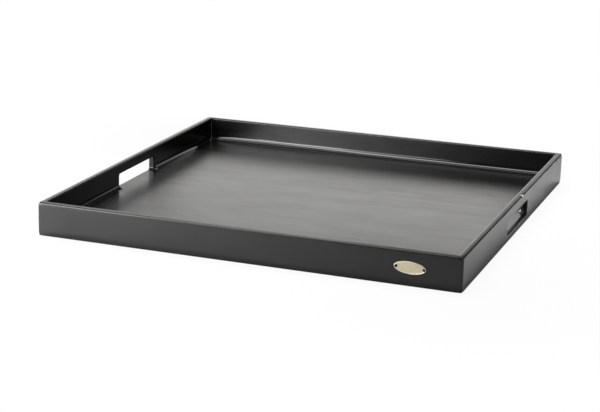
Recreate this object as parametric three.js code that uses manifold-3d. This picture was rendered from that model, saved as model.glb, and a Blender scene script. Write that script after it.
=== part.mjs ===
// A low square serving tray: four mitred rails round a grooved-in floor panel, cove strips
// along the floor, a hand hole through the left and right rails, and an oval plate in front.
// Millimetres, +Z up, front towards -Y, origin at the centre of the underside.
import * as THREE from 'three';
import { mergeVertices } from 'three/addons/utils/BufferGeometryUtils.js';
import Module from 'manifold-3d';

const wasm = await Module();
wasm.setup();

// Rails
const trayWidth = 650;          // X, over the rails with the hand holes
const trayDepth = 650;          // Y, over the front and back rails
const railHeight = 51.5;
const railThickness = 10;
const rimCornerRadius = 0.8;    // the flat rim's outer corners, in plan
const edgeRadius = 1.8;         // rounding of the rails' edges
const mitreGap = 0.2;           // glue line in a mitre

// Floor panel and its groove
const grooveLip = 4;            // wood below the panel
const panelThickness = 8;
const grooveDepth = 5;
const panelClearance = 0.3;     // at the panel's edges and above it, in the groove

// Hand holes
const handHoleLength = 134;
const gripHeight = 16.9;        // wood above the hole
const handHoleRadius = 4;
const handHoleEdge = 2;         // rounding of the hole's edges
const fullestCorner = 0.45;     // a corner's largest radius, as a share of the hole's height

// Cove strips on the floor and beads up the inner corners
const coveRadius = 8.8;
const coveLand = 0.6;           // thin square edge of a strip
const beadRadius = 3;
const beadLand = 0.5;
const beadGap = 0.3;            // bead to cove strip

// Biscuits in the mitres
const biscuitThickness = 2.4;
const biscuitCover = 1.3;       // wood between a mortise and the rail's faces
const biscuitStop = 8;          // mortise to rim, and to the groove
const biscuitClearance = 0.3;

// Oval plate and its pins
const plateLength = 45.5;
const plateHeight = 17.8;
const plateThickness = 1.2;
const plateBorder = 1.1;        // width of the raised border
const plateRecess = 0.35;       // field below the border
const plateEndInset = 74.2;     // plate's centre to the front's right end
const plateCentreHeight = 27;
const plateTilt = THREE.MathUtils.degToRad(2.8);
const pinMargin = 0.3;          // a pin's head to the border, at the plate's end
const pinHeadDiameter = 3.2;
const pinHeadHeight = 0.7;
const pinShankDiameter = 1.2;
const pinShankLength = 7;
const pinClearance = 0.2;

// Smoothness of the round stretches
const edgeSteps = 4;            // segments in a quarter of an edge rounding
const arcSteps = 8;             // segments in a quarter of a larger arc
const ovalSteps = 48;
const pinSteps = 16;

// Sizes that follow from those above
const floorHeight = grooveLip + panelThickness;
const grooveTop = floorHeight + panelClearance;
const handHoleHeight = railHeight - gripHeight - floorHeight;
const biscuitHeight = railHeight - grooveTop - 2 * biscuitStop;
const biscuitCentre = (railHeight + grooveTop) / 2;
const biscuitWidth = Math.SQRT2 * (railThickness - 2 * biscuitCover)
  - biscuitThickness - 4 * biscuitClearance;
const mitreSetback = mitreGap / Math.SQRT2;
const pinReach = plateLength / 2 - plateBorder - pinMargin - pinHeadDiameter / 2;
const cutPast = 1;              // how far a cutter runs past the face it cuts

function finish(color, roughness, metalness) {
  return new THREE.MeshStandardMaterial({ color, roughness, metalness });
}
const blackLacquer = finish(0x17171a, 0.32, 0);
const beech = finish(0xcaa87c, 0.7, 0);
const paleBrass = finish(0xd6cbae, 0.35, 0.9);
const blackedSteel = finish(0x1c1a18, 0.45, 0.8);

// Closed geometry to a solid that can be cut, and back
function toSolid(geometry) {
  const bare = geometry.clone();
  bare.deleteAttribute('normal');
  bare.deleteAttribute('uv');
  const merged = mergeVertices(bare);
  const mesh = new wasm.Mesh({
    numProp: 3,
    vertProperties: merged.attributes.position.array,
    triVerts: new Uint32Array(merged.index.array),
  });
  return new wasm.Manifold(mesh);
}

function toGeometry(solid) {
  const { vertProperties, triVerts } = solid.getMesh();
  const geometry = new THREE.BufferGeometry();
  geometry.setAttribute('position', new THREE.BufferAttribute(vertProperties, 3));
  geometry.setIndex(new THREE.BufferAttribute(triVerts, 1));
  const faceted = geometry.toNonIndexed();
  faceted.computeVertexNormals();
  return faceted;
}

function addMesh(group, name, geometry, material) {
  const mesh = new THREE.Mesh(geometry, material);
  mesh.name = name;
  group.add(mesh);
  return mesh;
}

function roundedRectangle(width, height, radius) {
  const x = width / 2 - radius;
  const y = height / 2 - radius;
  const shape = new THREE.Shape();
  shape.absarc(x, y, radius, 0, Math.PI / 2);
  shape.absarc(-x, y, radius, Math.PI / 2, Math.PI);
  shape.absarc(-x, -y, radius, Math.PI, 1.5 * Math.PI);
  shape.absarc(x, -y, radius, 1.5 * Math.PI, 2 * Math.PI);
  return shape;
}

// Section that fills a square corner at the origin and is hollowed to a quarter round
function quarterHollow(radius, land) {
  const leg = radius + land;
  const shape = new THREE.Shape();
  shape.lineTo(leg, 0);
  shape.lineTo(leg, land);
  shape.absarc(leg, leg, radius, -Math.PI / 2, -Math.PI, true);
  shape.lineTo(0, leg);
  return shape;
}

// A strip along X. Section x becomes the depth Y and section y the height Z, and each end's X
// depends on the depth, so that an end can be mitred.
function strip(section, curveSegments, leftEnd, rightEnd) {
  const geometry = new THREE.ExtrudeGeometry(
    section,
    { depth: 1, bevelEnabled: false, curveSegments },
  );
  const position = geometry.attributes.position;
  for (let i = 0; i < position.count; i += 1) {
    const depth = position.getX(i);
    const height = position.getY(i);
    const end = position.getZ(i) > 0.5 ? rightEnd : leftEnd;
    position.setXYZ(i, end(depth), depth, height);
  }
  return geometry;
}

// Rail section: depth from the outer face, with the floor's groove and a rounded inner edge.
// It is oversize at the outer face and underneath, where the rounded outline trims it.
function railSection() {
  const shape = new THREE.Shape();
  shape.moveTo(-cutPast, -cutPast);
  shape.lineTo(railThickness, -cutPast);
  shape.lineTo(railThickness, grooveLip);
  shape.lineTo(railThickness - grooveDepth, grooveLip);
  shape.lineTo(railThickness - grooveDepth, grooveTop);
  shape.lineTo(railThickness, grooveTop);
  shape.absarc(railThickness - edgeRadius, railHeight - edgeRadius, edgeRadius, 0, Math.PI / 2);
  shape.lineTo(-cutPast, railHeight);
  return shape;
}

// Whole tray's outline as a block with rounded corners and edges
function roundedBlock(length, width) {
  const geometry = new THREE.ExtrudeGeometry(
    roundedRectangle(length, width, rimCornerRadius + edgeRadius),
    {
      depth: railHeight - 2 * edgeRadius,
      bevelThickness: edgeRadius,
      bevelSize: edgeRadius,
      bevelOffset: -edgeRadius,
      bevelSegments: edgeSteps,
      curveSegments: edgeSteps,
    },
  );
  return geometry.translate(0, width / 2, edgeRadius);
}

// Hand hole: its outline run through the rail, flared at both faces to round the hole's edges
function handHoleCutter() {
  const stations = [{ depth: -cutPast, flare: handHoleEdge }];
  for (let i = 0; i <= edgeSteps; i += 1) {
    const angle = (i / edgeSteps) * Math.PI / 2;
    const depth = handHoleEdge * (1 - Math.cos(angle));
    const flare = handHoleEdge * (1 - Math.sin(angle));
    stations.push({ depth, flare });
  }
  const farSide = stations.map(({ depth, flare }) => ({ depth: railThickness - depth, flare }));
  stations.push(...farSide.reverse());

  const radius = Math.min(handHoleRadius, fullestCorner * handHoleHeight);
  const geometry = new THREE.ExtrudeGeometry(
    roundedRectangle(handHoleLength, handHoleHeight, radius),
    { depth: 1, steps: stations.length - 1, bevelEnabled: false, curveSegments: edgeSteps },
  );
  const cornerX = handHoleLength / 2 - radius;
  const cornerY = handHoleHeight / 2 - radius;
  const centreHeight = floorHeight + handHoleHeight / 2;
  const position = geometry.attributes.position;
  for (let i = 0; i < position.count; i += 1) {
    const station = stations[Math.round(position.getZ(i) * (stations.length - 1))];
    const x = position.getX(i);
    const y = position.getY(i);
    const spread = station.flare / radius;
    const outX = x + (x - Math.sign(x) * cornerX) * spread;
    const outY = y + (y - Math.sign(y) * cornerY) * spread;
    position.setXYZ(i, -outX, station.depth, centreHeight + outY);
  }
  return geometry;
}

// Mortise across the mitre at one end of a rail
function mortiseCutter(length, end) {
  const slack = 2 * biscuitClearance;
  const geometry = new THREE.BoxGeometry(
    biscuitWidth + slack,
    biscuitThickness + slack,
    biscuitHeight + slack,
  );
  geometry.rotateZ(end * Math.PI / 4);
  return geometry.translate(end * (length - railThickness) / 2, railThickness / 2, biscuitCentre);
}

function railSolid(length, width) {
  const end = (depth) => length / 2 - depth - mitreSetback;
  const blank = strip(railSection(), edgeSteps, (depth) => -end(depth), end);
  return toSolid(blank)
    .intersect(toSolid(roundedBlock(length, width)))
    .subtract(toSolid(mortiseCutter(length, -1)))
    .subtract(toSolid(mortiseCutter(length, 1)));
}

// Cove strips of one side: one from corner to corner, or two that stop at the hand hole
function coveGeometries(length, holed) {
  const section = quarterHollow(coveRadius, coveLand);
  const right = (depth) => length / 2 - railThickness - depth - mitreSetback;
  const left = (depth) => -right(depth);
  if (!holed) {
    return [strip(section, arcSteps, left, right)];
  }
  const stop = handHoleLength / 2 + handHoleEdge;
  return [
    strip(section, arcSteps, left, () => -stop),
    strip(section, arcSteps, () => stop, right),
  ];
}

// Bead up an inner corner, cut to sit on the cove strips that meet below it
function beadGeometry() {
  const height = railHeight - edgeRadius - floorHeight;
  const bead = new THREE.ExtrudeGeometry(
    quarterHollow(beadRadius, beadLand),
    { depth: height, bevelEnabled: false, curveSegments: edgeSteps },
  );
  const reach = beadRadius + beadLand + cutPast;
  const coveSpace = strip(
    quarterHollow(coveRadius, coveLand + 2 * beadGap),
    arcSteps,
    () => -reach,
    () => reach,
  );
  coveSpace.translate(0, -beadGap, -beadGap);
  const otherSpace = coveSpace.clone().rotateZ(-Math.PI / 2);
  return toGeometry(toSolid(bead).subtract(toSolid(coveSpace)).subtract(toSolid(otherSpace)));
}

// The plate's frame: X along its length, Y into the rail, at the front rail's outer face
const plateGroup = new THREE.Group();
plateGroup.position.set(trayWidth / 2 - plateEndInset, -trayDepth / 2, plateCentreHeight);
plateGroup.rotation.y = plateTilt;
plateGroup.updateMatrix();

function ovalPrism(length, height, depth) {
  const shape = new THREE.Shape();
  shape.absellipse(0, 0, length / 2, height / 2, 0, 2 * Math.PI);
  const geometry = new THREE.ExtrudeGeometry(
    shape,
    { depth, bevelEnabled: false, curveSegments: ovalSteps },
  );
  return geometry.rotateX(Math.PI / 2);
}

function pinHole(side, front, back) {
  const radius = pinShankDiameter / 2 + pinClearance;
  const geometry = new THREE.CylinderGeometry(radius, radius, back - front, pinSteps);
  return geometry.translate(side * pinReach, (front + back) / 2, 0);
}

function plateGeometry() {
  const fieldLength = plateLength - 2 * plateBorder;
  const fieldHeight = plateHeight - 2 * plateBorder;
  const field = ovalPrism(fieldLength, fieldHeight, plateRecess + cutPast);
  field.translate(0, plateRecess - plateThickness, 0);
  let plate = toSolid(ovalPrism(plateLength, plateHeight, plateThickness)).subtract(toSolid(field));
  for (const side of [-1, 1]) {
    plate = plate.subtract(toSolid(pinHole(side, -plateThickness - cutPast, cutPast)));
  }
  return toGeometry(plate);
}

// Pin with a domed head that seats on the plate's field and a pointed shank in the rail
function pinGeometry() {
  const seat = plateRecess - plateThickness;
  const headRadius = pinHeadDiameter / 2;
  const shankRadius = pinShankDiameter / 2;
  const points = [];
  for (let i = 0; i <= edgeSteps; i += 1) {
    const angle = (i / edgeSteps) * Math.PI / 2;
    const radius = headRadius * Math.sin(angle);
    points.push(new THREE.Vector2(radius, seat - pinHeadHeight * Math.cos(angle)));
  }
  points.push(new THREE.Vector2(shankRadius, seat));
  points.push(new THREE.Vector2(shankRadius, pinShankLength - pinShankDiameter));
  points.push(new THREE.Vector2(0, pinShankLength));
  return new THREE.LatheGeometry(points, pinSteps);
}

const tray = new THREE.Group();

// Each side is built as the front is, then turned into place
const sides = [
  { name: 'front', turn: 0, length: trayWidth, width: trayDepth, holed: false },
  { name: 'right', turn: 1, length: trayDepth, width: trayWidth, holed: true },
  { name: 'back', turn: 2, length: trayWidth, width: trayDepth, holed: false },
  { name: 'left', turn: 3, length: trayDepth, width: trayWidth, holed: true },
];
const coveNames = {
  front: ['cove_front'],
  right: ['cove_right_front', 'cove_right_back'],
  back: ['cove_back'],
  left: ['cove_left_back', 'cove_left_front'],
};
for (const { name, turn, length, width, holed } of sides) {
  const side = new THREE.Group();
  side.rotation.z = turn * Math.PI / 2;
  tray.add(side);

  let rail = railSolid(length, width);
  if (holed) {
    rail = rail.subtract(toSolid(handHoleCutter()));
  }
  if (name === 'front') {
    for (const end of [-1, 1]) {
      const hole = pinHole(end, -cutPast, pinShankLength + pinClearance);
      hole.applyMatrix4(plateGroup.matrix).translate(0, width / 2, 0);
      rail = rail.subtract(toSolid(hole));
    }
  }
  addMesh(side, `${name}_rail`, toGeometry(rail), blackLacquer).position.y = -width / 2;

  coveGeometries(length, holed).forEach((geometry, i) => {
    const cove = addMesh(side, coveNames[name][i], geometry, blackLacquer);
    cove.position.set(0, railThickness - width / 2, floorHeight);
  });
}

const panel = new THREE.BoxGeometry(
  trayWidth - 2 * (railThickness - grooveDepth + panelClearance),
  trayDepth - 2 * (railThickness - grooveDepth + panelClearance),
  panelThickness,
);
addMesh(tray, 'floor_panel', panel, blackLacquer).position.z = grooveLip + panelThickness / 2;

// Each corner's frame sits at the inner corner, with X and Y pointing into the tray
const corners = [
  { name: 'front_left', turn: 0, x: -1, y: -1 },
  { name: 'front_right', turn: 1, x: 1, y: -1 },
  { name: 'back_right', turn: 2, x: 1, y: 1 },
  { name: 'back_left', turn: 3, x: -1, y: 1 },
];
for (const { name, turn, x, y } of corners) {
  const corner = new THREE.Group();
  corner.position.set(x * (trayWidth / 2 - railThickness), y * (trayDepth / 2 - railThickness), 0);
  corner.rotation.z = turn * Math.PI / 2;
  tray.add(corner);

  addMesh(corner, `corner_bead_${name}`, beadGeometry(), blackLacquer).position.z = floorHeight;

  const biscuit = new THREE.BoxGeometry(biscuitWidth, biscuitThickness, biscuitHeight);
  const key = addMesh(corner, `corner_biscuit_${name}`, biscuit, beech);
  key.position.set(-railThickness / 2, -railThickness / 2, biscuitCentre);
  key.rotation.z = -Math.PI / 4;
}

tray.add(plateGroup);
addMesh(plateGroup, 'label_plate', plateGeometry(), paleBrass);
for (const [name, side] of [['left', -1], ['right', 1]]) {
  addMesh(plateGroup, `label_pin_${name}`, pinGeometry(), blackedSteel).position.x = side * pinReach;
}

export default tray;
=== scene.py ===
import math

import bmesh
import bpy
from mathutils import Matrix, Vector


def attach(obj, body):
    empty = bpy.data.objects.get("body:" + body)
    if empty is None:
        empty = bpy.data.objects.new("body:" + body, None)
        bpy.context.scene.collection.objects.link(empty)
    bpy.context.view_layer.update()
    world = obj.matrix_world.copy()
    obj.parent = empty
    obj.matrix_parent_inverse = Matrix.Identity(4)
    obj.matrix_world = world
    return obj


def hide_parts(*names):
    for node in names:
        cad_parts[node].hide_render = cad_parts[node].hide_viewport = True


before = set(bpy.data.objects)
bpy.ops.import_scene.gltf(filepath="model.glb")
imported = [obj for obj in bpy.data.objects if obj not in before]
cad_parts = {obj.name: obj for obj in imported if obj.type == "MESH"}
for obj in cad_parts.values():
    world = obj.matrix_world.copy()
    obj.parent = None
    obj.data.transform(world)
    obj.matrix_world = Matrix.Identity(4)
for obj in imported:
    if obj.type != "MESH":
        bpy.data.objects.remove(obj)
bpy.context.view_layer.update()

# Rails: four strips of hardwood, mitred and keyed at the corners and grooved for the floor. They
# are glued up, routed for the hand holes, rounded over along every edge and lacquered black as one
# frame, so the frame is shaped whole here and then parted along its mitres.
tray_side = 0.650
rail_height = 0.0515
rail_thickness = 0.010
inner_side = tray_side - 2 * rail_thickness
outer_corner_radius = 0.0026
outer_edge = 0.0019
inner_edge = 0.0024
foot_edge = 0.0014
crown = 0.00047
crest = 0.0068
crown_lines = 6
sanded_reach = 0.0072
sanding_passes = 14
lip_radius = 0.0006
groove_bottom = 0.004
groove_top = 0.0123
groove_depth = 0.005
floor_top = 0.012
hole_length = 0.134
hole_top = 0.0346
hole_corner_radius = 0.004
hole_inner_edge = 0.002
hole_outer_edge = 0.0012
sill_slope = 0.0045
sill_fall = math.tan(math.radians(13))
sill_margin = 0.003
mitre_line = 0.00002
lacquer_run = (0.3240, 0.027, 0.0493)
lacquer_run_size = (0.0021, 0.0034, 0.0026)
worn_from = 0.3
cutter_overrun = 0.005
past_inside = 0.001
facing = 0.9
tolerance = 1e-6
wide_tolerance = 1e-5


def add_block(name, low, high):
    """Add a block between two corners, with its place in its mesh."""
    low, high = Vector(low), Vector(high)
    bpy.ops.object.select_all(action="DESELECT")
    bpy.ops.mesh.primitive_cube_add(size=1, location=(low + high) / 2, scale=high - low)
    bpy.ops.object.transform_apply(location=True, rotation=True, scale=True)
    block = bpy.context.active_object
    block.name = name
    block.data.name = name
    return block


def take(piece):
    """Make one piece the only selected one."""
    bpy.ops.object.select_all(action="DESELECT")
    piece.select_set(True)
    bpy.context.view_layer.objects.active = piece


def open_mesh(piece):
    """Open one piece for shaping."""
    take(piece)
    bpy.ops.object.mode_set(mode="EDIT")
    bpy.ops.mesh.select_mode(type="FACE")


def close_mesh():
    bpy.ops.object.mode_set(mode="OBJECT")


def pick_faces(test):
    """Select the faces whose centre and normal pass the test."""
    mesh = bpy.context.edit_object.data
    shape = bmesh.from_edit_mesh(mesh)
    bpy.ops.mesh.select_mode(type="FACE")
    bpy.ops.mesh.select_all(action="DESELECT")
    for face in shape.faces:
        if test(face.calc_center_median(), face.normal):
            face.select_set(True)
    shape.select_flush_mode()
    bmesh.update_edit_mesh(mesh)


def pick_edges(test):
    """Select the edges whose two ends, and the normals on both sides, pass the test."""
    mesh = bpy.context.edit_object.data
    shape = bmesh.from_edit_mesh(mesh)
    bpy.ops.mesh.select_mode(type="EDGE")
    bpy.ops.mesh.select_all(action="DESELECT")
    for edge in shape.edges:
        ends = [corner.co for corner in edge.verts]
        sides = [face.normal for face in edge.link_faces]
        if len(sides) == 2 and test(ends, sides):
            edge.select_set(True)
    shape.select_flush_mode()
    bmesh.update_edit_mesh(mesh)


def pick_points(test):
    """Select the points whose place passes the test."""
    mesh = bpy.context.edit_object.data
    shape = bmesh.from_edit_mesh(mesh)
    bpy.ops.mesh.select_mode(type="VERT")
    bpy.ops.mesh.select_all(action="DESELECT")
    for point in shape.verts:
        if test(point.co):
            point.select_set(True)
    shape.select_flush_mode()
    bmesh.update_edit_mesh(mesh)


def round_over(radius, segments, profile=0.5):
    """Round the selected edges, or hollow them with a low profile."""
    bpy.ops.mesh.bevel(
        offset=radius, segments=segments, profile=profile, affect="EDGES", clamp_overlap=False
    )


def saw(at, normal, keep_all=False):
    """Cut the selected part of the mesh along a plane and drop what lies past it."""
    bpy.ops.mesh.bisect(
        plane_co=at, plane_no=normal, use_fill=not keep_all, clear_outer=not keep_all
    )


def cut_away(piece, cutter, operation="DIFFERENCE"):
    """Take a cutter's shape out of a piece, or merge it in."""
    take(piece)
    cut = piece.modifiers.new("cut", "BOOLEAN")
    cut.operation = operation
    cut.solver = "EXACT"
    cut.object = cutter
    bpy.ops.object.modifier_apply(modifier=cut.name)
    bpy.data.objects.remove(cutter)


def smooth(piece, angle=40):
    """Shade the roundings smooth, with the flat faces' normals left flat."""
    take(piece)
    bpy.ops.object.shade_smooth_by_angle(angle=math.radians(angle))
    weighted = piece.modifiers.new("flat faces first", "WEIGHTED_NORMAL")
    weighted.keep_sharp = True
    bpy.ops.object.modifier_apply(modifier=weighted.name)


half = tray_side / 2
inner = inner_side / 2
rim = add_block("rim", (-half, -half, 0), (half, half, rail_height))
open_mesh(rim)
for axis in (Vector((1, 0, 0)), Vector((0, 1, 0))):
    for side in (-1, 1):
        bpy.ops.mesh.select_all(action="SELECT")
        saw(side * inner * axis, axis, keep_all=True)
pick_faces(lambda at, normal: abs(normal.z) > facing and max(abs(at.x), abs(at.y)) < inner)
bpy.ops.mesh.bridge_edge_loops()
bpy.ops.mesh.select_all(action="SELECT")
bpy.ops.mesh.normals_make_consistent(inside=False)
pick_edges(
    lambda ends, sides: all(abs(abs(at.x) - half) < tolerance for at in ends)
    and all(abs(abs(at.y) - half) < tolerance for at in ends)
    and abs(ends[0].z - ends[1].z) > tolerance
)
round_over(outer_corner_radius, 8)
close_mesh()

for side in (-1, 1):
    reach = sorted((side * (half + cutter_overrun), side * (inner - cutter_overrun)))
    cutter = add_block(
        "hand_hole_cutter",
        (reach[0], -hole_length / 2, floor_top),
        (reach[1], hole_length / 2, hole_top),
    )
    open_mesh(cutter)
    bpy.ops.mesh.select_all(action="SELECT")
    saw((side * (half - sill_slope), 0, 0), (1, 0, 0), keep_all=True)
    pick_points(lambda at: abs(at.x) > half and at.z < floor_top + tolerance)
    bpy.ops.transform.translate(value=(0, 0, -sill_fall * (sill_slope + cutter_overrun)))
    pick_edges(lambda ends, sides: abs(ends[0].x - ends[1].x) > tolerance)
    round_over(hole_corner_radius, 6)
    close_mesh()
    cut_away(rim, cutter)

    open_mesh(rim)
    for face, radius in ((inner, hole_inner_edge), (half, hole_outer_edge)):
        pick_edges(
            lambda ends, sides: all(abs(at.x - side * face) < tolerance for at in ends)
            and all(abs(at.y) < hole_length / 2 + wide_tolerance for at in ends)
            and all(floor_top - sill_margin < at.z < hole_top + wide_tolerance for at in ends)
        )
        round_over(radius, 5)
    close_mesh()

groove_side = inner_side + 2 * groove_depth
cut_away(
    rim,
    add_block(
        "groove_cutter",
        (-groove_side / 2, -groove_side / 2, groove_bottom),
        (groove_side / 2, groove_side / 2, groove_top),
    ),
)
open_mesh(rim)
for outside, radius in ((True, outer_edge), (False, inner_edge)):
    pick_edges(
        lambda ends, sides: all(abs(at.z - rail_height) < tolerance for at in ends)
        and all((max(abs(at.x), abs(at.y)) > inner + past_inside) == outside for at in ends)
        and (abs(sides[0].z) > facing) != (abs(sides[1].z) > facing)
    )
    round_over(radius, 5)
flat = rail_thickness - outer_edge - inner_edge
lines = [inner + inner_edge + flat * (step + 1) / (crown_lines + 1) for step in range(crown_lines)]
for axis in (Vector((1, 0, 0)), Vector((0, 1, 0))):
    for line in lines:
        for side in (-1, 1):
            pick_faces(lambda at, normal: normal.z > facing and at.z > rail_height - tolerance)
            saw(side * line * axis, axis, keep_all=True)


def crown_drop(at):
    """How far the crowned rim lies below its crest, which runs nearer the inside of the rails."""
    past_x = abs(at.x) - half + outer_corner_radius
    past_y = abs(at.y) - half + outer_corner_radius
    from_outside = half - max(abs(at.x), abs(at.y))
    if past_x > 0 and past_y > 0:
        from_outside = outer_corner_radius - math.hypot(past_x, past_y)
    off_crest = (crest - from_outside) / (rail_thickness / 2)
    return crown * off_crest ** 2


shoulder = rail_height - outer_edge - tolerance
points = bmesh.from_edit_mesh(rim.data).verts
drops = {round(crown_drop(point.co), 6) for point in points if point.co.z > shoulder}
for drop in sorted(drops):
    pick_points(lambda at: at.z > shoulder and round(crown_drop(at), 6) == drop)
    bpy.ops.transform.translate(value=(0, 0, -drop))
for axis in (Vector((1, 0, 0)), Vector((0, 1, 0))):
    for side in (-1, 1):
        bpy.ops.mesh.select_all(action="SELECT")
        saw(side * (half - sanded_reach) * axis, axis, keep_all=True)
bpy.ops.mesh.select_all(action="SELECT")
saw((0, 0, rail_height - sanded_reach), (0, 0, 1), keep_all=True)
within = half - sanded_reach + wide_tolerance
sanded_from = rail_height - sanded_reach + wide_tolerance
pick_points(lambda at: min(abs(at.x), abs(at.y)) > within and at.z > sanded_from)
bpy.ops.mesh.vertices_smooth(factor=0.5, repeat=sanding_passes)
for outside, radius in ((True, foot_edge), (False, lip_radius)):
    pick_edges(
        lambda ends, sides: all(abs(at.z) < tolerance for at in ends)
        and all((max(abs(at.x), abs(at.y)) > inner + past_inside) == outside for at in ends)
        and (abs(sides[0].z) > facing) != (abs(sides[1].z) > facing)
    )
    round_over(radius, 4)
bpy.ops.mesh.select_all(action="SELECT")
saw((0, 0, sanded_reach), (0, 0, 1), keep_all=True)
sanded_to = sanded_reach - wide_tolerance
pick_points(lambda at: min(abs(at.x), abs(at.y)) > within and at.z < sanded_to)
bpy.ops.mesh.vertices_smooth(factor=0.5, repeat=sanding_passes)
close_mesh()

bpy.ops.object.select_all(action="DESELECT")
bpy.ops.mesh.primitive_uv_sphere_add(
    segments=24, ring_count=12, radius=1, location=lacquer_run, scale=lacquer_run_size
)
bpy.ops.object.transform_apply(location=True, rotation=True, scale=True)
cut_away(rim, bpy.context.active_object, "UNION")

turned = [0.0] * len(rim.data.vertices)
for face in rim.data.polygons:
    if (face.center - Vector(lacquer_run)).length < max(lacquer_run_size):
        continue
    slant = (1 - max(abs(part) for part in face.normal)) / (1 - math.sqrt(0.5))
    worn = min(1.0, max(0.0, (slant - worn_from) / (1 - worn_from)))
    for corner in face.vertices:
        turned[corner] = max(turned[corner], worn)
rim.data.attributes.new("edge", "FLOAT", "POINT").data.foreach_set("value", turned)

rails = {}
for name, turn in (("front_rail", 0), ("right_rail", 90), ("back_rail", 180), ("left_rail", 270)):
    take(rim)
    bpy.ops.object.duplicate()
    rail = bpy.context.active_object
    rail.name = f"{name}_lacquered"
    rail.data.name = rail.name
    open_mesh(rail)
    for across in (-1, 1):
        normal = Matrix.Rotation(math.radians(turn), 3, "Z") @ Vector((across, 1, 0)).normalized()
        bpy.ops.mesh.select_all(action="SELECT")
        saw(-normal * mitre_line / 2, normal)
    close_mesh()
    smooth(rail)
    rails[name] = rail
bpy.data.objects.remove(rim)

# Satin black lacquer on the rails and all else that is black, rubbed down along the grain: soft
# streaks from the pad, the closed pores of the wood below, a little orange peel, cloudy patches
# with a second coat, specks of dust and thin places along the edges. One spot on a run of lacquer
# is painted pale grey, partly as a chip through to the primer and partly as a painted highlight.
lacquer_black = (0.0045, 0.0045, 0.0049, 1)
lacquer_streak = (0.0075, 0.0075, 0.0079, 1)
lacquer_rubbed = (0.045, 0.042, 0.039, 1)
dust_grey = (0.60, 0.59, 0.57, 1)
# Pale grey for one spot on the lacquer run: partly bare primer, partly a painted highlight.
glint_and_primer_grey = (0.84, 0.82, 0.79, 1)
lacquer_gloss = 0.455
second_coat = 0.14
wave_height = 0.00018
streak_height = 0.000004
pore_height = 0.0000015
peel_height = 0.0000030
rubbed_roughness = 0.18
specks_per_metre = 75
bare_cells = 0.95
largest_speck = 0.065
glint_chip_reach = 0.0033
glint_chip_core = 0.8


def node_group(name, inputs, outputs):
    """Start a shader node group with named sockets, and give its tree and its two end nodes."""
    group = bpy.data.node_groups.new(name, "ShaderNodeTree")
    for label, kind, value in inputs:
        socket = group.interface.new_socket(label, in_out="INPUT", socket_type=kind)
        if value is not None:
            socket.default_value = value
    for label, kind in outputs:
        group.interface.new_socket(label, in_out="OUTPUT", socket_type=kind)
    return group, group.nodes.new("NodeGroupInput"), group.nodes.new("NodeGroupOutput")


def noise(tree, vector, scale, detail=2.0, roughness=0.5):
    """Noise stretched by one scale for each axis, as its value from 0 to 1."""
    stretch = tree.nodes.new("ShaderNodeVectorMath")
    stretch.operation = "MULTIPLY"
    stretch.inputs[1].default_value = scale
    tree.links.new(vector, stretch.inputs[0])
    texture = tree.nodes.new("ShaderNodeTexNoise")
    texture.inputs["Scale"].default_value = 1.0
    texture.inputs["Detail"].default_value = detail
    texture.inputs["Roughness"].default_value = roughness
    tree.links.new(stretch.outputs[0], texture.inputs["Vector"])
    return texture.outputs["Fac"]


def math_node(tree, operation, first, second):
    """Work on two values, each a number or another node's output."""
    node = tree.nodes.new("ShaderNodeMath")
    node.operation = operation
    for socket, value in zip(node.inputs, (first, second)):
        if isinstance(value, (int, float)):
            socket.default_value = value
        else:
            tree.links.new(value, socket)
    return node.outputs[0]


def remap(tree, value, low, high, to_low, to_high):
    """Ease a value from one range into another."""
    node = tree.nodes.new("ShaderNodeMapRange")
    node.interpolation_type = "SMOOTHSTEP"
    for label, number in (
        ("From Min", low),
        ("From Max", high),
        ("To Min", to_low),
        ("To Max", to_high),
    ):
        node.inputs[label].default_value = number
    tree.links.new(value, node.inputs["Value"])
    return node.outputs["Result"]


def mix_colors(tree, factor, first, second):
    """Blend two colours, each given or another node's output."""
    node = tree.nodes.new("ShaderNodeMix")
    node.data_type = "RGBA"
    for socket, value in ((node.inputs[6], first), (node.inputs[7], second)):
        if isinstance(value, tuple):
            socket.default_value = value
        else:
            tree.links.new(value, socket)
    tree.links.new(factor, node.inputs[0])
    return node.outputs[2]


def new_finish(name):
    """Start a material, and give it with its node tree, its shader and its coordinates."""
    material = bpy.data.materials.new(name)
    material.use_nodes = True
    tree = material.node_tree
    place = tree.nodes.new("ShaderNodeTexCoord")
    return material, tree, tree.nodes["Principled BSDF"], place.outputs["Object"]


film, film_in, film_out = node_group(
    "lacquer film",
    (
        ("Vector", "NodeSocketVector", None),
        ("Edge", "NodeSocketFloat", 0.0),
        ("Roughness", "NodeSocketFloat", 0.3),
        ("Dust", "NodeSocketFloat", 0.0),
    ),
    (
        ("Color", "NodeSocketColor"),
        ("Roughness", "NodeSocketFloat"),
        ("Height", "NodeSocketFloat"),
        ("Second Coat", "NodeSocketFloat"),
    ),
)
along = film_in.outputs["Vector"]
streaks = noise(film, along, (2.4, 60, 60), 3.0, 0.55)
pores = noise(film, along, (22, 640, 640), 2.0, 0.5)
peel = noise(film, along, (380, 380, 380), 1.0, 0.5)
waves = noise(film, along, (7, 16, 16), 1.0, 0.4)
clouds = noise(film, along, (9, 24, 24), 5.0, 0.68)
rub_noise = noise(film, along, (150, 150, 150), 3.0, 0.6)
rub_spread = noise(film, along, (14, 14, 14), 2.0, 0.5)
rub_place = math_node(film, "MULTIPLY", rub_noise, rub_spread)
rubbed = math_node(
    film, "MULTIPLY", film_in.outputs["Edge"], remap(film, rub_place, 0.31, 0.42, 0.0, 0.85)
)
specks = film.nodes.new("ShaderNodeTexVoronoi")
specks.feature = "F1"
specks.inputs["Scale"].default_value = specks_per_metre
film.links.new(along, specks.inputs["Vector"])
speck_size = film.nodes.new("ShaderNodeSeparateColor")
film.links.new(specks.outputs["Color"], speck_size.inputs[0])
speck_reach = remap(film, speck_size.outputs[0], bare_cells, 1.0, 0.0, largest_speck)
speck = math_node(film, "LESS_THAN", specks.outputs["Distance"], speck_reach)
dust = math_node(film, "MULTIPLY", speck, film_in.outputs["Dust"])

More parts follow.
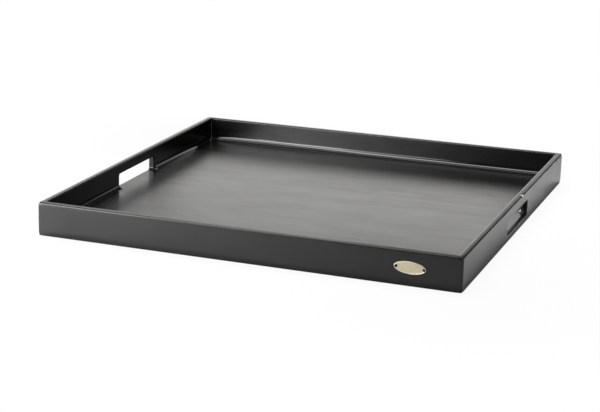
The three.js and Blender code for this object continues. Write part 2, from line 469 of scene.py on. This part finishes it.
tone = mix_colors(film, remap(film, streaks, 0.3, 0.72, 0.0, 1.0), lacquer_black, lacquer_streak)
tone = mix_colors(film, rubbed, tone, lacquer_rubbed)
tone = mix_colors(film, dust, tone, dust_grey)
film.links.new(tone, film_out.inputs["Color"])
streaked = remap(film, streaks, 0.25, 0.75, -0.010, 0.012)
matt = math_node(film, "ADD", film_in.outputs["Roughness"], streaked)
matt = math_node(film, "ADD", matt, remap(film, pores, 0.3, 0.7, -0.015, 0.02))
matt = math_node(film, "ADD", matt, math_node(film, "MULTIPLY", rubbed, rubbed_roughness))
film.links.new(matt, film_out.inputs["Roughness"])
height = math_node(film, "MULTIPLY", waves, wave_height)
for layer, rise in ((streaks, streak_height), (pores, pore_height), (peel, peel_height)):
    height = math_node(film, "ADD", height, math_node(film, "MULTIPLY", layer, rise))
film.links.new(height, film_out.inputs["Height"])
patches = remap(film, clouds, 0.28, 0.72, 0.0, second_coat)
film.links.new(patches, film_out.inputs["Second Coat"])


def black_lacquer(
    name, turn, roughness, gloss=lacquer_gloss, dust_amount=0.0, edges=False, glint_chip=None
):
    """The lacquer as a material, with its grain along X, or turned about Z to run another way."""
    material, tree, shader, place = new_finish(name)
    grain = tree.nodes.new("ShaderNodeMapping")
    grain.inputs["Rotation"].default_value = (0, 0, math.radians(turn))
    tree.links.new(place, grain.inputs["Vector"])
    coat = tree.nodes.new("ShaderNodeGroup")
    coat.node_tree = film
    coat.inputs["Roughness"].default_value = roughness
    coat.inputs["Dust"].default_value = dust_amount
    tree.links.new(grain.outputs["Vector"], coat.inputs["Vector"])
    if edges:
        edge = tree.nodes.new("ShaderNodeAttribute")
        edge.attribute_name = "edge"
        tree.links.new(edge.outputs["Fac"], coat.inputs["Edge"])
    bump = tree.nodes.new("ShaderNodeBump")
    bump.inputs["Strength"].default_value = 1.0
    bump.inputs["Distance"].default_value = 1.0
    tree.links.new(coat.outputs["Height"], bump.inputs["Height"])
    color = coat.outputs["Color"]
    # A pale grey patch round the lacquer run: partly a chip to the primer, partly a painted
    # highlight standing in for the run's glint.
    if glint_chip:
        away = tree.nodes.new("ShaderNodeVectorMath")
        away.operation = "DISTANCE"
        tree.links.new(place, away.inputs[0])
        away.inputs[1].default_value = glint_chip
        core = glint_chip_reach * glint_chip_core
        glint_chip_mask = remap(tree, away.outputs["Value"], core, glint_chip_reach, 1.0, 0.0)
        color = mix_colors(tree, glint_chip_mask, color, glint_and_primer_grey)
    tree.links.new(color, shader.inputs["Base Color"])
    tree.links.new(coat.outputs["Roughness"], shader.inputs["Roughness"])
    tree.links.new(coat.outputs["Second Coat"], shader.inputs["Coat Weight"])
    shader.inputs["Coat Roughness"].default_value = roughness
    shader.inputs["Specular IOR Level"].default_value = gloss
    shader.inputs["IOR"].default_value = 1.5
    tree.links.new(bump.outputs["Normal"], shader.inputs["Normal"])
    return material


rail_roughness = 0.24
lacquer_across = black_lacquer("lacquer_front_back", 0, rail_roughness, edges=True)
lacquer_sideways = black_lacquer("lacquer_sides", 90, rail_roughness, edges=True, glint_chip=lacquer_run)
for name, rail in rails.items():
    crosswise = name in ("front_rail", "back_rail")
    rail.data.materials.clear()
    rail.data.materials.append(lacquer_across if crosswise else lacquer_sideways)
    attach(rail, "root")
    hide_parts(name)

# Floor panel: one flat board, seated in the rails' grooves all round and lacquered with them. Its
# top is level with the sills of the hand holes.
panel_play = 0.00004
panel_edge = 0.0004
floor_roughness = 0.24
floor_dust = 0.8

reach = inner + groove_depth - panel_play
floor_panel = add_block(
    "floor_panel_lacquered", (-reach, -reach, groove_bottom), (reach, reach, floor_top)
)
open_mesh(floor_panel)
pick_edges(lambda ends, sides: True)
round_over(panel_edge, 2)
close_mesh()
smooth(floor_panel)
floor_lacquer = black_lacquer("lacquer_floor", 0, floor_roughness, dust_amount=floor_dust)
floor_panel.data.materials.append(floor_lacquer)
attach(floor_panel, "root")
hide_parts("floor_panel")

# Cove strips: hollow mouldings glued into the angle between floor and rails, mitred in the corners
# and eased off in small steps beside the hand holes. The hollow is run with a round cutter.
cove_leg = 0.0094
cove_radius = 0.0092
hollow_profile = 0.0858
cove_end_steps = ((0.0018, 0.985), (0.0013, 0.93), (0.0009, 0.69), (0.00045, 0.455), (0.0, 0.22))
cove_roughness = 0.11
cove_gloss = 0.63
cove_across = black_lacquer("lacquer_coves_front_back", 0, cove_roughness, cove_gloss)
cove_sideways = black_lacquer("lacquer_coves_sides", 90, cove_roughness, cove_gloss)


def turn_into_place(piece, degrees, move=(0, 0, 0)):
    """Turn a piece about Z and move it, with its place in its mesh."""
    piece.rotation_euler = (0, 0, math.radians(degrees))
    piece.location = move
    take(piece)
    bpy.ops.object.transform_apply(location=True, rotation=True, scale=True)


def cove_strip(node, turn, start, end):
    """A strip as it lies along the front, turned to its side. An end left open is mitred."""
    left = -inner if start is None else start
    right = inner if end is None else end
    strip = add_block(
        f"{node}_lacquered",
        (left, -inner, floor_top),
        (right, -inner + cove_leg, floor_top + cove_leg),
    )
    open_mesh(strip)
    pick_edges(
        lambda ends, sides: all(abs(at.y + inner - cove_leg) < tolerance for at in ends)
        and all(abs(at.z - floor_top - cove_leg) < tolerance for at in ends)
    )
    round_over(cove_radius, 12, hollow_profile)
    for across, given in ((-1, start), (1, end)):
        if given is None:
            normal = Vector((across, 1, 0)).normalized()
            bpy.ops.mesh.select_all(action="SELECT")
            saw(-normal * mitre_line / 2, normal)
        else:
            for from_end, share in cove_end_steps:
                at = given - across * from_end
                bpy.ops.mesh.select_all(action="SELECT")
                saw((at, 0, 0), (1, 0, 0), keep_all=True)
                pick_points(lambda point: abs(point.x - at) < tolerance)
                bpy.ops.transform.resize(
                    value=(1, share, share), center_override=(at, -inner, floor_top)
                )
    close_mesh()
    turn_into_place(strip, turn)
    smooth(strip)
    strip.data.materials.append(cove_across if turn % 180 == 0 else cove_sideways)
    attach(strip, "root")
    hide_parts(node)


stop = hole_length / 2 + hole_inner_edge
cove_strip("cove_front", 0, None, None)
cove_strip("cove_back", 180, None, None)
cove_strip("cove_right_front", 90, None, -stop)
cove_strip("cove_right_back", 90, stop, None)
cove_strip("cove_left_back", 270, None, -stop)
cove_strip("cove_left_front", 270, stop, None)

# Corner beads: slim hollow mouldings up the inner corners, glued over the mitres. They stand on the
# cove strips and end level with the rim.
bead_leg = 0.0035
bead_radius = 0.003
bead_lift = 0.003
bead_below_rim = 0.0002
bead_foot = floor_top + bead_lift
bead_top = rail_height - crown - bead_below_rim
bead_material = black_lacquer("lacquer_beads", 0, cove_roughness)
for node, turn, x, y in (
    ("corner_bead_front_left", 0, -inner, -inner),
    ("corner_bead_front_right", 90, inner, -inner),
    ("corner_bead_back_right", 180, inner, inner),
    ("corner_bead_back_left", 270, -inner, inner),
):
    bead = add_block(f"{node}_lacquered", (0, 0, bead_foot), (bead_leg, bead_leg, bead_top))
    open_mesh(bead)
    pick_edges(lambda ends, sides: all(min(at.x, at.y) > bead_leg - tolerance for at in ends))
    round_over(bead_radius, 8, hollow_profile)
    close_mesh()
    turn_into_place(bead, turn, (x, y, 0))
    smooth(bead)
    bead.data.materials.append(bead_material)
    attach(bead, "root")
    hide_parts(node)

# Biscuits: flat keys of bare beech, glued into slots across the mitres. They are out of sight, so
# the solids stay as they are and get the wood's own finish.
beech_pale = (0.62, 0.43, 0.24, 1)
beech_dark = (0.47, 0.29, 0.14, 1)

beech, tree, shader, place = new_finish("bare_beech")
flecks = noise(tree, place, (900, 900, 90), 2.0, 0.5)
rings = noise(tree, place, (160, 160, 22), 2.0, 0.5)
wood = mix_colors(tree, remap(tree, rings, 0.3, 0.7, 0.0, 1.0), beech_pale, beech_dark)
wood = mix_colors(tree, remap(tree, flecks, 0.62, 0.7, 0.0, 0.6), wood, beech_dark)
tree.links.new(wood, shader.inputs["Base Color"])
tree.links.new(remap(tree, flecks, 0.3, 0.7, 0.62, 0.75), shader.inputs["Roughness"])
for corner in ("front_left", "front_right", "back_right", "back_left"):
    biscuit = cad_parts[f"corner_biscuit_{corner}"]
    biscuit.data.materials.clear()
    biscuit.data.materials.append(beech)

# Plate: a small oval stamped from pale brass, with a raised border round a satin field that is left
# bare. It sits a little askew on the front, held by two pins.
plate_length = 0.0455
plate_height = 0.0178
plate_thickness = 0.0012
plate_border = 0.0011
plate_recess = 0.00035
plate_step = 0.00025
plate_edge = 0.0002
plate_from_end = 0.0742
plate_middle_height = 0.027
plate_tilt = math.radians(2.8)
brass_pale = (0.70, 0.63, 0.455, 1)
brass_warm = (0.60, 0.53, 0.36, 1)
brass_border = (0.84, 0.80, 0.69, 1)
brass_roughness = 0.42
border_polish = 0.15
brushing_depth = 0.000004

plate_place = (
    Matrix.Translation((half - plate_from_end, -half, plate_middle_height))
    @ Matrix.Rotation(plate_tilt, 4, "Y")
    @ Matrix.Rotation(math.radians(90), 4, "X")
)
bpy.ops.object.select_all(action="DESELECT")
bpy.ops.mesh.primitive_cylinder_add(
    vertices=96, radius=0.5, depth=1, location=(0, 0, plate_thickness / 2)
)
plate = bpy.context.active_object
plate.name = "label_plate_brass"
plate.scale = (plate_length, plate_height, plate_thickness)
bpy.ops.object.transform_apply(location=True, rotation=True, scale=True)
open_mesh(plate)
pick_faces(lambda at, normal: normal.z > facing)
bpy.ops.mesh.inset(thickness=plate_border, depth=0, use_even_offset=True)
bpy.ops.mesh.inset(thickness=plate_step, depth=-plate_recess, use_even_offset=True)
pick_edges(
    lambda ends, sides: all(abs(at.z - plate_thickness) < tolerance for at in ends)
    and abs(sides[0].z - sides[1].z) > 0.2
)
round_over(plate_edge, 3)
close_mesh()
raised = [float(point.co.z > plate_thickness - plate_recess / 2) for point in plate.data.vertices]
plate.data.attributes.new("border", "FLOAT", "POINT").data.foreach_set("value", raised)
plate.matrix_world = plate_place
take(plate)
bpy.ops.object.transform_apply(location=True, rotation=True, scale=True)
smooth(plate)

brass, tree, shader, place = new_finish("pale_brass_field")
brushing = noise(tree, place, (260, 260, 5200), 3.0, 0.6)
tarnish = noise(tree, place, (190, 190, 190), 3.0, 0.6)
border = tree.nodes.new("ShaderNodeAttribute")
border.attribute_name = "border"
color = mix_colors(tree, remap(tree, tarnish, 0.4, 0.75, 0.0, 1.0), brass_pale, brass_warm)
color = mix_colors(tree, border.outputs["Fac"], color, brass_border)
tree.links.new(color, shader.inputs["Base Color"])
brushed = remap(tree, brushing, 0.3, 0.7, brass_roughness - 0.05, brass_roughness + 0.07)
polish = math_node(tree, "MULTIPLY", border.outputs["Fac"], border_polish)
tree.links.new(math_node(tree, "SUBTRACT", brushed, polish), shader.inputs["Roughness"])
bump = tree.nodes.new("ShaderNodeBump")
bump.inputs["Strength"].default_value = 1.0
bump.inputs["Distance"].default_value = brushing_depth
tree.links.new(brushing, bump.inputs["Height"])
tree.links.new(bump.outputs["Normal"], shader.inputs["Normal"])
shader.inputs["Metallic"].default_value = 1.0
plate.data.materials.append(brass)
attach(plate, "root")
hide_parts("label_plate")

# Pins: blackened steel pins with low domed heads, driven through the ends of the plate into the
# front rail.
pin_places = (("label_pin_left", -0.0195), ("label_pin_right", 0.0202))
pin_head_radius = 0.0021
pin_head_height = 0.0007
pin_rim_height = 0.0001
pin_dome_steps = 6
pin_top_inset = 0.8
pin_seat = plate_thickness - plate_recess / 3
pin_shank_radius = 0.0006
pin_shank_length = 0.0075
steel_black = (0.003, 0.003, 0.003, 1)
steel_worn = (0.012, 0.011, 0.010, 1)

steel, tree, shader, place = new_finish("blackened_steel")
scale_marks = noise(tree, place, (2600, 2600, 2600), 3.0, 0.6)
color = mix_colors(tree, remap(tree, scale_marks, 0.5, 0.75, 0.0, 1.0), steel_black, steel_worn)
tree.links.new(color, shader.inputs["Base Color"])
tree.links.new(remap(tree, scale_marks, 0.3, 0.7, 0.50, 0.66), shader.inputs["Roughness"])
shader.inputs["Metallic"].default_value = 0.3
shader.inputs["Specular IOR Level"].default_value = 0.1

for node, along in pin_places:
    bpy.ops.object.select_all(action="DESELECT")
    bpy.ops.mesh.primitive_cylinder_add(
        vertices=32,
        radius=pin_head_radius,
        depth=pin_rim_height,
        location=(along, 0, pin_seat + pin_rim_height / 2),
    )
    pin = bpy.context.active_object
    pin.name = f"{node}_steel"
    bpy.ops.object.transform_apply(location=True, rotation=True, scale=True)
    open_mesh(pin)
    pick_faces(lambda at, normal: normal.z > facing)
    dome = pin_head_height - pin_rim_height
    for step in range(pin_dome_steps):
        near = math.radians(90 * step / pin_dome_steps)
        far = math.radians(90 * (step + 1) / pin_dome_steps)
        inward = pin_head_radius * (math.cos(near) - math.cos(far))
        if step == pin_dome_steps - 1:
            inward *= pin_top_inset
        rise = dome * (math.sin(far) - math.sin(near))
        bpy.ops.mesh.inset(thickness=inward, depth=rise, use_even_offset=True)
    pick_faces(lambda at, normal: normal.z < -facing)
    bpy.ops.mesh.inset(thickness=pin_head_radius - pin_shank_radius, depth=0)
    bpy.ops.mesh.extrude_region_move(TRANSFORM_OT_translate={"value": (0, 0, -pin_shank_length)})
    close_mesh()
    pin.matrix_world = plate_place
    take(pin)
    bpy.ops.object.transform_apply(location=True, rotation=True, scale=True)
    smooth(pin, 50)
    pin.data.materials.append(steel)
    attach(pin, "root")
    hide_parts(node)

# Stage: a white table top that carries the tray's shadow and fades to plain white away from it. A
# low panel behind the tray is dimmer at both ends, two softboxes stand in front of it to the left,
# cards round it show in the gloss alone, and two gridded lamps above light the table.
table_side = 9.0
table_white = (0.82, 0.82, 0.82, 1)
table_drop = 0.0002
shadow_reach = 0.30
white_by_tray = 0.95
white_in_gloss = 0.15
surround_light = 0.05
panel_distance = 1.50
panel_height = 0.65
panel_color = (1, 0.997, 0.965)
grid_spread = math.radians(62)

bpy.ops.object.select_all(action="DESELECT")
bpy.ops.mesh.primitive_plane_add(size=table_side, location=(0, 0, -table_drop))
table = bpy.context.active_object
table.name = "table_top"
bpy.ops.object.transform_apply(location=True, rotation=True, scale=True)
table_paint = bpy.data.materials.new("table_white")
table_paint.use_nodes = True
tree = table_paint.node_tree
tree.nodes.remove(tree.nodes["Principled BSDF"])
output = tree.nodes["Material Output"]
lit = tree.nodes.new("ShaderNodeBsdfDiffuse")
lit.inputs["Color"].default_value = table_white
white = tree.nodes.new("ShaderNodeEmission")
white.inputs["Color"].default_value = (1, 1, 1, 1)
white.inputs["Strength"].default_value = 1.0
place = tree.nodes.new("ShaderNodeTexCoord")
outwards = place.outputs["Object"]
for operation, value in (("ABSOLUTE", 0), ("SUBTRACT", half), ("MAXIMUM", 0), ("LENGTH", 0)):
    step = tree.nodes.new("ShaderNodeVectorMath")
    step.operation = operation
    tree.links.new(outwards, step.inputs[0])
    step.inputs[1].default_value = (value, value, value)
    outwards = step.outputs["Value" if operation == "LENGTH" else "Vector"]
ray = tree.nodes.new("ShaderNodeLightPath")
seen = remap(tree, outwards, 0.0, shadow_reach, white_by_tray, 1.0)
seen = math_node(tree, "MULTIPLY", seen, ray.outputs["Is Camera Ray"])
mirrored = math_node(
    tree, "MAXIMUM", ray.outputs["Is Glossy Ray"], ray.outputs["Is Transmission Ray"]
)
mirrored = math_node(tree, "MULTIPLY", mirrored, white_in_gloss)
share = math_node(tree, "MAXIMUM", seen, mirrored)
by_ray = tree.nodes.new("ShaderNodeMixShader")
tree.links.new(share, by_ray.inputs["Fac"])
tree.links.new(lit.outputs[0], by_ray.inputs[1])
tree.links.new(white.outputs[0], by_ray.inputs[2])
tree.links.new(by_ray.outputs[0], output.inputs["Surface"])
table.data.materials.append(table_paint)

surround = bpy.data.worlds.new("surround")
bpy.context.scene.world = surround
surround.use_nodes = True
tree = surround.node_tree
sky = tree.nodes["Background"]
sky.inputs["Color"].default_value = (1, 1, 1, 1)
ray = tree.nodes.new("ShaderNodeLightPath")
bright = math_node(tree, "MAXIMUM", ray.outputs["Is Camera Ray"], surround_light)
tree.links.new(bright, sky.inputs["Strength"])


def softbox(name, place, aim, width, height, radiance):
    """A flat lamp that faces a point. Its power follows from its radiance and its size."""
    bpy.ops.object.select_all(action="DESELECT")
    bpy.ops.object.light_add(type="AREA", location=place)
    lamp = bpy.context.active_object
    lamp.name = name
    lamp.rotation_euler = (Vector(aim) - Vector(place)).to_track_quat("-Z", "Y").to_euler()
    lamp.data.shape = "RECTANGLE"
    lamp.data.size = width
    lamp.data.size_y = height
    lamp.data.energy = radiance * math.pi * width * height
    lamp.visible_camera = False
    return lamp


softbox("low_front_left", (-0.65, -0.78, 0.24), (0, 0, 0.24), 0.50, 0.42, 11.4)
softbox("low_front", (-0.34, -1.00, 0.24), (0, 0, 0.24), 0.26, 0.42, 4.4)
for name, middle, width, radiance in (
    ("panel_far", -1.26, 0.68, 1.05),
    ("panel_behind", -0.46, 0.92, 1.53),
    ("panel_fade", 0.10, 0.20, 0.92),
    ("panel_end", 0.375, 0.35, 0.60),
):
    place = (middle, panel_distance, panel_height / 2)
    aim = (middle, 0, panel_height / 2)
    panel = softbox(name, place, aim, width, panel_height, radiance)
    panel.data.color = panel_color
for name, place, aim, width, depth, radiance in (
    ("high_front_card", (-0.70, -0.81, 0.95), (0, 0, 0), 0.75, 0.80, 4.2),
    ("upper_front_card", (-0.295, -0.672, 1.30), (0, 0.1, 0), 0.70, 0.60, 5.0),
    ("ceiling_card", (-0.20, 0.60, 1.25), (-0.20, 0.60, 0), 1.3, 1.0, 2.0),
    ("high_back_card", (-1.00, 1.50, 1.30), (-1.00, 0, 1.30), 1.1, 0.9, 1.7),
    ("right_card", (1.20, -0.50, 0.42), (-0.31, 0.31, 0.03), 0.4, 0.4, 6.0),
):
    card = softbox(name, place, aim, width, depth, radiance)
    card.visible_diffuse = False
for name, place, aim, width, radiance in (
    ("gridded_left", (-0.75, 0.10, 1.10), (-0.53, -0.50, 0), 0.8, 3.7),
    ("gridded_right", (-0.05, 0.30, 1.30), (0.40, 0.18, 0), 0.6, 2.75),
):
    gridded = softbox(name, place, aim, width, width, radiance)
    gridded.data.spread = grid_spread
    gridded.visible_glossy = False

# Camera: a long lens from the right of the front. The frame is shifted sideways, as in a picture
# cut from a wider one, so the far corner doesn't lean.
azimuth = math.radians(23.0071)
elevation = math.radians(15.6725)
roll = math.radians(0.625)
distance = 2.67377
target = Vector((-0.16392, -0.06976, 0))
back = Vector(
    (
        math.sin(azimuth) * math.cos(elevation),
        -math.cos(azimuth) * math.cos(elevation),
        math.sin(elevation),
    )
)
right = Vector((math.cos(azimuth), math.sin(azimuth), 0))
above = back.cross(right)
across = math.cos(roll) * right + math.sin(roll) * above
upright = math.cos(roll) * above - math.sin(roll) * right
bpy.ops.object.camera_add()
camera = bpy.context.active_object
camera.name = "photo_camera"
camera.matrix_world = Matrix.Translation(target + distance * back) @ Matrix(
    (across, upright, back)
).transposed().to_4x4()
camera.data.sensor_fit = "HORIZONTAL"
camera.data.sensor_width = 36
camera.data.lens = 100.397
camera.data.shift_x = 0.16
camera.data.clip_end = 50
bpy.context.scene.camera = camera
bpy.context.scene.view_settings.view_transform = "Standard"
